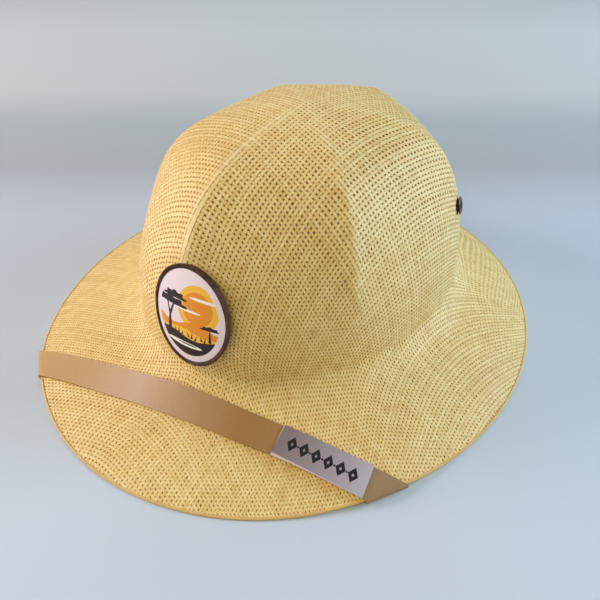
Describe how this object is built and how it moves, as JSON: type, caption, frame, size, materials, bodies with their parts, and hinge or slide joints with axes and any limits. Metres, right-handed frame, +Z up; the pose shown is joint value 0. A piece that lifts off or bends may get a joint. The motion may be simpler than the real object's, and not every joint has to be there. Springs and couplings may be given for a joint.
{
  "type": "safari hat",
  "caption": "Pressed straw-cloth safari hat with a ridged crown, a drooping oval brim, a moulded badge, vent eyelets and a chin strap worn over the brim.",
  "frame": {"origin": "middle of the brim's box, on the plane that the rim rests on", "axes": "+Z up, front of the hat towards -Y, the wearer's left towards +X"},
  "size_m": [0.305, 0.338, 0.14],
  "materials": {
    "straw": "open plain weave, matte",
    "tape": "flat woven tape, low sheen",
    "satin": "woven satin label, soft sheen",
    "rubber": "moulded soft rubber, satin",
    "badge_field": "moulded soft rubber, satin",
    "eyelet_metal": "darkened, satin"
  },
  "bodies": {
    "root": {"hat_shell": "straw", "chin_strap": "tape", "strap_label": "satin", "badge_tray": "rubber", "badge_field": "badge_field", "vent_eyelet_left": "eyelet_metal", "vent_eyelet_right": "eyelet_metal"}
  },
  "joints": []
}
